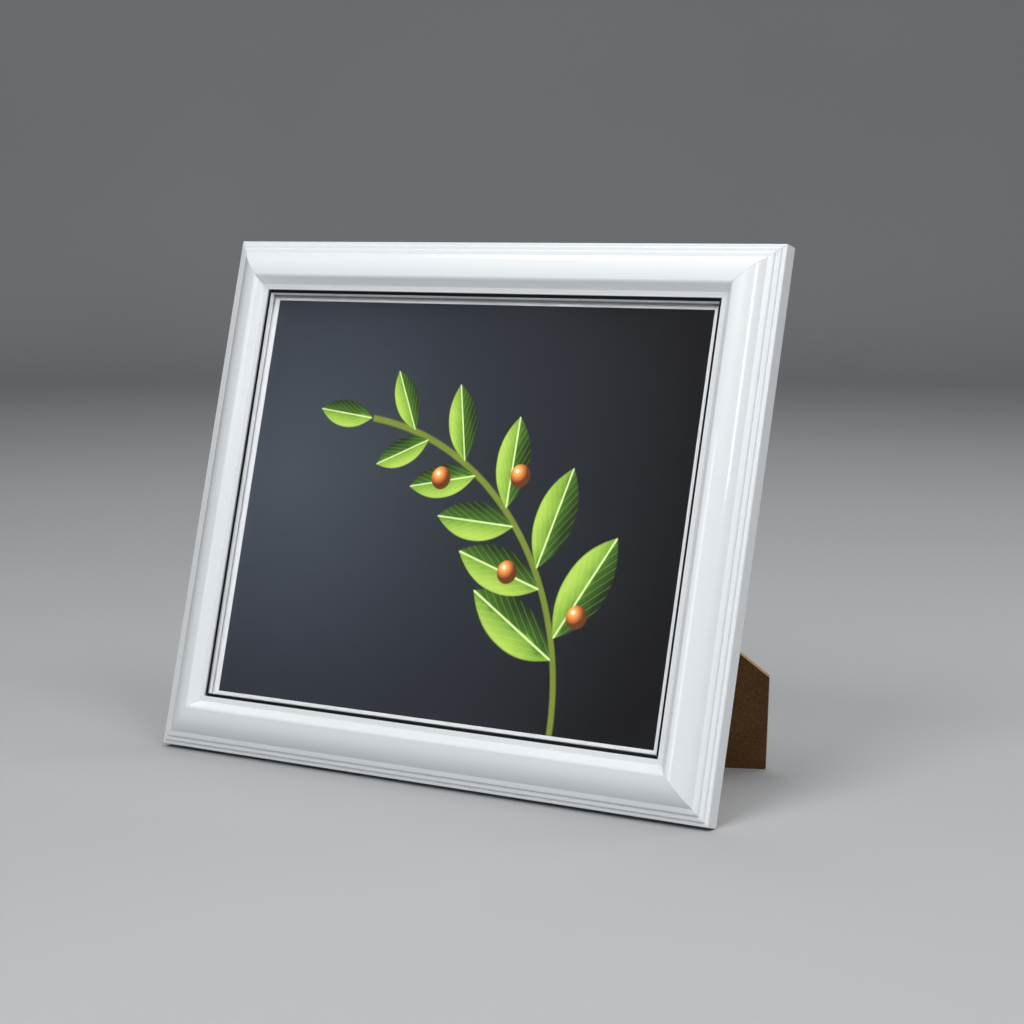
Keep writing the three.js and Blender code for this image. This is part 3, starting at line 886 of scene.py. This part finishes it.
def modelPane():
    x, low, high = pane["width"] / 2, (outerHeight - pane["height"]) / 2, (outerHeight + pane["height"]) / 2
    corners = [(-x, low), (x, low), (x, high), (-x, high)]
    pullOut([(a, -pane["front"], b) for a, b in corners], (0, pane["front"] - pane["back"], 0))
    glass = leaveEdit("glassPane")
    easeEdges(glass, pane["arris"], segments=1)
    return glass


glass = modelPane()
settle(glass, faceFrame, "frame", "glass_pane", [floatGlass(glassLook)])
glass.visible_shadow = False  # the pane lets the lamps through to the print
print("stage 5: glass cut")


# Turn buttons: a stamped plate, round at both ends, with a hole for its screw
button = {
    "half": 5, "tail": 2, "tip": 17, "seat": 0.3, "thickness": 1, "hole": 1.8, "ease": 0.22, "facets": 48,
}


def modelButton():
    b = button
    upright = (math.pi / 2, 0, math.pi / b["facets"])  # no corner lies at z = 0
    bpy.ops.object.select_all(action="DESELECT")
    bpy.ops.mesh.primitive_circle_add(
        vertices=b["facets"], radius=b["half"], location=(0, 0, 0), rotation=upright
    )
    bpy.ops.object.transform_apply(location=True, rotation=True, scale=True)
    bpy.ops.object.mode_set(mode="EDIT")
    mesh = bpy.context.object.data
    for upper, shift in ((True, b["tip"] - b["half"]), (False, -b["tail"])):
        bpy.ops.mesh.select_mode(type="VERT")
        bpy.ops.mesh.select_all(action="DESELECT")
        bpy.ops.object.mode_set(mode="OBJECT")
        for vertex in mesh.vertices:
            vertex.select = (vertex.co.z > 0) == upper
        bpy.ops.object.mode_set(mode="EDIT")
        bpy.ops.transform.translate(value=(0, 0, shift))
    bpy.ops.mesh.primitive_circle_add(
        vertices=b["facets"], radius=b["hole"], location=(0, 0, 0), rotation=upright
    )
    bpy.ops.mesh.select_all(action="SELECT")
    bpy.ops.mesh.bridge_edge_loops()
    bpy.ops.mesh.select_all(action="SELECT")
    bpy.ops.transform.translate(value=(0, b["seat"], 0))
    bpy.ops.mesh.extrude_region_move(TRANSFORM_OT_translate={"value": (0, b["thickness"], 0)})
    bpy.ops.mesh.select_all(action="SELECT")
    bpy.ops.mesh.normals_make_consistent(inside=False)
    plate = leaveEdit("turnButton")
    easeEdges(plate, b["ease"], segments=3)
    return plate


# Screws: turned pan heads with a cross recess
screw = {
    "radius": 1.5, "depth": 7, "point": 2.5, "headRadius": 3.2, "headSeat": 1.6, "rim": 0.5,
    "rimChamfer": 0.2, "dome": 1.5, "recessLength": 3.2, "recessWidth": 0.75, "recessDepth": 1.2,
    "recessTaper": 0.6, "recessProud": 0.5,  # how far the cutter stands out of the head
    "facets": 48, "domeSteps": 8,
}


def domePoints(radius, base, height, steps):  # from the rim to the top on the axis
    angles = [i / steps * math.pi / 2 for i in range(steps + 1)]
    return [(radius * math.cos(angle), base + height * math.sin(angle)) for angle in angles]


def modelScrew():
    s = screw
    base = s["headSeat"] + s["rim"]
    outline = [(0, -s["depth"]), (s["radius"], s["point"] - s["depth"]), (s["radius"], s["headSeat"])]
    outline.append((s["headRadius"] - s["rimChamfer"], s["headSeat"]))
    outline.append((s["headRadius"], s["headSeat"] + s["rimChamfer"]))
    outline += domePoints(s["headRadius"], base, s["dome"], s["domeSteps"])
    turnRound([(radius, height, 0) for radius, height in outline], (0, 1, 0), s["facets"])
    body = leaveEdit("buttonScrew")
    top = base + s["dome"]
    x, z = s["recessLength"] / 2, s["recessWidth"] / 2
    arm = [(x, -z), (x, z), (z, z)]
    quarters = [Matrix.Rotation(i * math.pi / 2, 2) for i in range(4)]
    cross = [quarter @ Vector(point) for quarter in quarters for point in arm]
    reach = s["recessProud"] + s["recessDepth"]
    pullOut([(a, top + s["recessProud"], b) for a, b in cross], (0, -reach, 0))
    selectFaces(lambda polygon: polygon.center.y < top - s["recessDepth"] + limits["near"])
    bpy.ops.transform.resize(value=(s["recessTaper"], 1, s["recessTaper"]))
    combine(body, leaveEdit("recess"), "DIFFERENCE")
    return body


buttonPattern = modelButton()
screwPattern = modelScrew()
places = [(side, i) for side in sides for i in ((1, 2) if side in longSides else (1,))]
for side, i in places:
    node = f"{side.lower()}_{i}"
    body = "button_" + (node if side in longSides else side.lower())
    inEdge = edgeFrame(side).inverted() @ pivots[body]
    place = edgeFrame(side) @ Matrix.Translation((inEdge.x, 0, inEdge.z))
    settle(
        copyOf(buttonPattern, f"turnButton{side}{i}"), place, body,
        "turn_button_" + node, [brass],
    )
    settle(
        copyOf(screwPattern, f"buttonScrew{side}{i}"), place, "frame",
        "button_screw_" + node, [zinc],
    )
bpy.data.objects.remove(buttonPattern)
bpy.data.objects.remove(screwPattern)
print("stage 6: turn buttons and screws fitted")


# Strut hinge: x along the pin, y backwards, the leg towards -z; the leg turns about x
openAngle = math.radians(joints["leg_fold"]["range_deg"][1])
pinLine = -Vector(joints["leg_fold"]["axis"]).normalized()
hingeFrame = frameOf(pivots["leg"], pinLine, backwards)
legFrame = hingeFrame @ Matrix.Rotation(openAngle, 4, "X")
hinge = {
    "leaf": 0.8, "halfWidth": 11, "length": 14, "tongue": 4.5, "gap": 0.3, "knuckle": 2.5, "pin": 1,
    "pinProud": 0.6, "pinRound": 0.35, "rivet": 1.2, "rivetHead": 2.4, "rivetDome": 0.9, "rivetInset": 4.5,
    "rivetTail": 3.3, "holeReach": 9, "boreReach": 20, "ease": 0.15, "facets": 48, "domeSteps": 7,
}
rivetX, rivetZ = hinge["halfWidth"] - hinge["rivetInset"], hinge["length"] - hinge["rivetInset"]


def knuckleTube(low, high, name):
    h = hinge
    bore = h["pin"] + h["gap"]
    turnRound(
        [(low, bore, 0), (low, h["knuckle"], 0), (high, h["knuckle"], 0), (high, bore, 0), (low, bore, 0)],
        (1, 0, 0), h["facets"],
    )
    return leaveEdit(name)


def boltHole(x, z):
    h = hinge
    radius, reach = h["rivet"] + h["gap"], h["holeReach"]
    turnRound(
        [(0, -reach, 0), (radius, -reach, 0), (radius, reach, 0), (0, reach, 0)], (0, 1, 0), h["facets"]
    )
    hole = leaveEdit("rivetHole")
    hole.location = (x, 0, z)
    return hole


def trimBore(leaf):  # nothing of the plate is left inside the knuckles' bore
    h = hinge
    bore, reach = h["pin"] + h["gap"], h["boreReach"]
    turnRound([(-reach, 0, 0), (-reach, bore, 0), (reach, bore, 0), (reach, 0, 0)], (1, 0, 0), h["facets"])
    combine(leaf, leaveEdit("bore"), "DIFFERENCE")


def modelBoardLeaf():
    h = hinge
    clear = h["knuckle"] + h["gap"]
    notch = h["tongue"] + h["gap"]
    outline = [
        (-h["halfWidth"], 0), (-notch, 0), (-notch, clear), (notch, clear), (notch, 0), (h["halfWidth"], 0),
        (h["halfWidth"], h["length"]), (-h["halfWidth"], h["length"]),
    ]
    pullOut([(x, -h["knuckle"], z) for x, z in outline], (0, h["leaf"], 0))
    leaf = leaveEdit("hingeBoardLeaf")
    trimBore(leaf)
    for low, high in ((-h["halfWidth"], -notch), (notch, h["halfWidth"])):
        combine(leaf, knuckleTube(low, high, "knuckle"), "UNION")
    for x in (-1, 1):
        combine(leaf, boltHole(x * rivetX, rivetZ), "DIFFERENCE")
    return leaf


def modelLegLeaf():
    h = hinge
    clear = h["knuckle"] + h["gap"]
    inner = h["knuckle"] - h["leaf"]
    heel = (inner * (1 + math.cos(openAngle)) - h["gap"]) / math.sin(openAngle)  # stops on the board's leaf
    outline = [
        (-h["tongue"], heel), (-h["tongue"], -clear), (-h["halfWidth"], -clear),
        (-h["halfWidth"], -h["length"]), (h["halfWidth"], -h["length"]),
        (h["halfWidth"], -clear), (h["tongue"], -clear), (h["tongue"], heel),
    ]
    pullOut([(x, inner, z) for x, z in outline], (0, h["leaf"], 0))
    leaf = leaveEdit("hingeLegLeaf")
    trimBore(leaf)
    combine(leaf, knuckleTube(-h["tongue"], h["tongue"], "knuckle"), "UNION")
    for x in (-1, 1):
        combine(leaf, boltHole(x * rivetX, -rivetZ), "DIFFERENCE")
    return leaf


def modelPin():
    h = hinge
    end = h["halfWidth"] + h["pinProud"]
    rounding = domePoints(h["pin"], end - h["pinRound"], h["pinRound"], h["domeSteps"])
    lowRound = [(-x, r) for r, x in rounding]
    highRound = [(-x, r) for x, r in reversed(lowRound)]
    turnRound([(x, r, 0) for x, r in lowRound[::-1] + highRound[::-1]], (1, 0, 0), h["facets"])
    return leaveEdit("hingePin")


def modelRivet():
    h = hinge
    seat = h["leaf"] + h["gap"]
    outline = [(0, -h["rivetTail"]), (h["rivet"], -h["rivetTail"]), (h["rivet"], seat)]
    outline += domePoints(h["rivetHead"], seat, h["rivetDome"], h["domeSteps"])
    turnRound([(radius, height, 0) for radius, height in outline], (0, 1, 0), h["facets"])
    return leaveEdit("rivet")


for leaf, place, body, node in (
    (modelBoardLeaf(), hingeFrame, "frame", "hinge_board_leaf"),
    (modelLegLeaf(), legFrame, "leg", "hinge_leg_leaf"),
):
    easeEdges(leaf, hinge["ease"])
    settle(leaf, place, body, node, [zinc])
settle(modelPin(), hingeFrame, "frame", "hinge_pin", [zinc])
rivetPattern = modelRivet()
for i, x in ((1, -rivetX), (2, rivetX)):
    onBoard = hingeFrame @ Matrix.Translation((x, -hinge["knuckle"], rivetZ))
    onLeg = legFrame @ Matrix.Translation((x, hinge["knuckle"] - hinge["leaf"], -rivetZ))
    settle(copyOf(rivetPattern, f"boardRivet{i}"), onBoard, "frame", f"board_rivet_{i}", [zinc])
    settle(copyOf(rivetPattern, f"legRivet{i}"), onLeg, "leg", f"leg_rivet_{i}", [zinc])
bpy.data.objects.remove(rivetPattern)
print("stage 7: hinge and rivets fitted")


# Easel leg: hardboard sawn to a point with two foot edges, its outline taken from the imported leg
leg = {"ease": 0.25}


def modelLeg():
    toLeg = legFrame.inverted()
    points = [toLeg @ vertex.co for vertex in frame["nodes"]["easel_leg"].data.vertices]
    inner, outer = min(p.y for p in points), max(p.y for p in points)
    neckEnd, foot = max(p.z for p in points), min(p.z for p in points)
    neck = max(p.x for p in points if p.z > neckEnd - limits["near"])
    shoulder = max(points, key=lambda p: p.x)
    outline = [
        (-neck, neckEnd), (-shoulder.x, shoulder.z), (0, foot), (shoulder.x, shoulder.z), (neck, neckEnd),
    ]
    pullOut([(x, inner, z) for x, z in outline], (0, outer - inner, 0))
    board = leaveEdit("easelLeg")
    for i in (-1, 1):
        combine(board, boltHole(i * rivetX, -rivetZ), "DIFFERENCE")
    easeEdges(board, leg["ease"])
    for polygon in board.data.polygons:
        polygon.material_index = 0 if abs(polygon.normal.y) > limits["facing"] else 1
    return board


settle(modelLeg(), legFrame, "leg", "easel_leg", [hardboard, sawnEdge])
print("stage 8: easel leg cut")


# CAD nodes that stay get their finish
keptNodes = {
    "print_sheet": photoPrint(printLook), "backing_card": pulpCard(cardLook), "back_board": hardboard,
}
for name, node in frame["nodes"].items():
    finish = zinc if name.startswith("corner_nail") else keptNodes.get(name)
    if finish:
        node.data.materials.clear()
        node.data.materials.append(finish)
print("stage 9: kept nodes finished")


# Floor and light, in metres: a pale round sweep under soft lamps
room = {
    "floor": 2.8, "curve": 0.5, "wall": 0.66, "steps": 12, "facets": 96, "weld": 0.0001,
    "tones": [(0.3, "#ADAFB1"), (0.7, "#B0B2B4")], "cloud": 400, "rough": 0.9,  # the cloud's size in mm
    "glow": "#C8CDD3", "glowStrength": 0.1,
}


def modelSweep():
    r = room
    wall = r["floor"] + r["curve"]
    line = [(0, 0), (r["floor"], 0)]
    line += bend((r["floor"], 0), (wall, 0), (wall, r["curve"]), r["steps"]) + [(wall, r["wall"])]
    drawLine([(x, 0, z) for x, z in line])
    bpy.ops.mesh.spin(steps=r["facets"], angle=math.tau, center=(0, 0, 0), axis=(0, 0, 1))
    bpy.ops.mesh.select_all(action="SELECT")
    bpy.ops.mesh.remove_doubles(threshold=r["weld"])
    bpy.ops.mesh.normals_make_consistent(inside=True)
    sweep = leaveEdit("studioSweep")
    bpy.ops.object.shade_smooth()
    return sweep


def mattPaper():  # painted paper sweep: even, pale and dull
    material = newMaterial("mattPaperSweep")
    coordinates = addNode(material, "ShaderNodeTexCoord")
    cloud = addNode(
        material, "ShaderNodeTexNoise", {"Scale": perMm(room["cloud"]), "Detail": 1},
        {"Vector": coordinates.outputs["Object"]},
    )
    colour = addNode(material, "ShaderNodeValToRGB", None, {"Fac": cloud.outputs["Fac"]}, room["tones"])
    return finishMaterial(material, {"Roughness": room["rough"]}, {"Base Color": colour.outputs[0]})


sweep = modelSweep()
sweep.data.materials.append(mattPaper())

lamps = {  # place and aim in metres, size in metres, power in watts
    "frontSoft": {"place": (0.15, -1.2, 1.2), "aim": (0, 0, 0.12), "size": (0.55, 0.55), "power": 10.4},
    "sideSoft": {"place": (1.35, -0.5, 1.7), "aim": (0, 0, 0.12), "size": (0.7, 0.7), "power": 11},
    "topSoft": {"place": (0.2, -0.5, 2.0), "aim": (0, 0, 0.12), "size": (0.9, 0.6), "power": 10},
    "backSoft": {"place": (0, 0.45, 1.5), "aim": (0, 0, 0.12), "size": (1.1, 0.5), "power": 5.5},
    "rightGlint": {"place": (0.95, -0.8, 0.67), "aim": (0, 0, 0.12), "size": (0.18, 0.35), "power": 1.2},
    "ridgeGlint": {"place": (-0.18, -1.47, 0.5), "aim": (0, 0, 0.12), "size": (0.16, 0.52), "power": 0.9},
    "rearSoft": {"place": (1.0, 1.5, 0.9), "aim": (0, 0, 0.12), "size": (0.8, 0.6), "power": 4.5},
    "backWash": {"place": (-0.7, 1.2, 1.9), "aim": (-1.1, 1.6, 0.1), "size": (1.6, 0.6), "power": 8},
}
for name, lamp in lamps.items():
    bpy.ops.object.light_add(type="AREA", location=lamp["place"])
    light = bpy.context.object
    light.name = name
    light.data.shape = "RECTANGLE"
    light.data.size, light.data.size_y = lamp["size"]
    light.data.energy = lamp["power"]
    light.rotation_euler = (Vector(lamp["aim"]) - Vector(lamp["place"])).to_track_quat("-Z", "Y").to_euler()
    light.visible_camera = False

world = bpy.data.worlds.new("studio")
world.use_nodes = True
glow = world.node_tree.nodes["Background"]
glow.inputs["Color"].default_value = linear(room["glow"])
glow.inputs["Strength"].default_value = room["glowStrength"]
bpy.context.scene.world = world
bpy.context.scene.view_settings.view_transform = "Standard"

camera = {  # place in mm, focal length and image in pixels, sensor in mm
    "place": (623.7, -907.9, 245.3), "azimuth": 33.92, "pitch": -6.7,
    "focal": 2444.8, "image": 1024, "sensor": 36,
}
turn, pitch = math.radians(camera["azimuth"]), math.radians(camera["pitch"])
look = Vector((-math.sin(turn) * math.cos(pitch), math.cos(turn) * math.cos(pitch), math.sin(pitch)))
bpy.ops.object.camera_add(
    location=Vector(camera["place"]) * mm, rotation=look.to_track_quat("-Z", "Y").to_euler()
)
bpy.context.object.data.sensor_width = camera["sensor"]
bpy.context.object.data.lens = camera["sensor"] * camera["focal"] / camera["image"]
bpy.context.scene.camera = bpy.context.object
print("stage 10: floor, lamps and camera set")
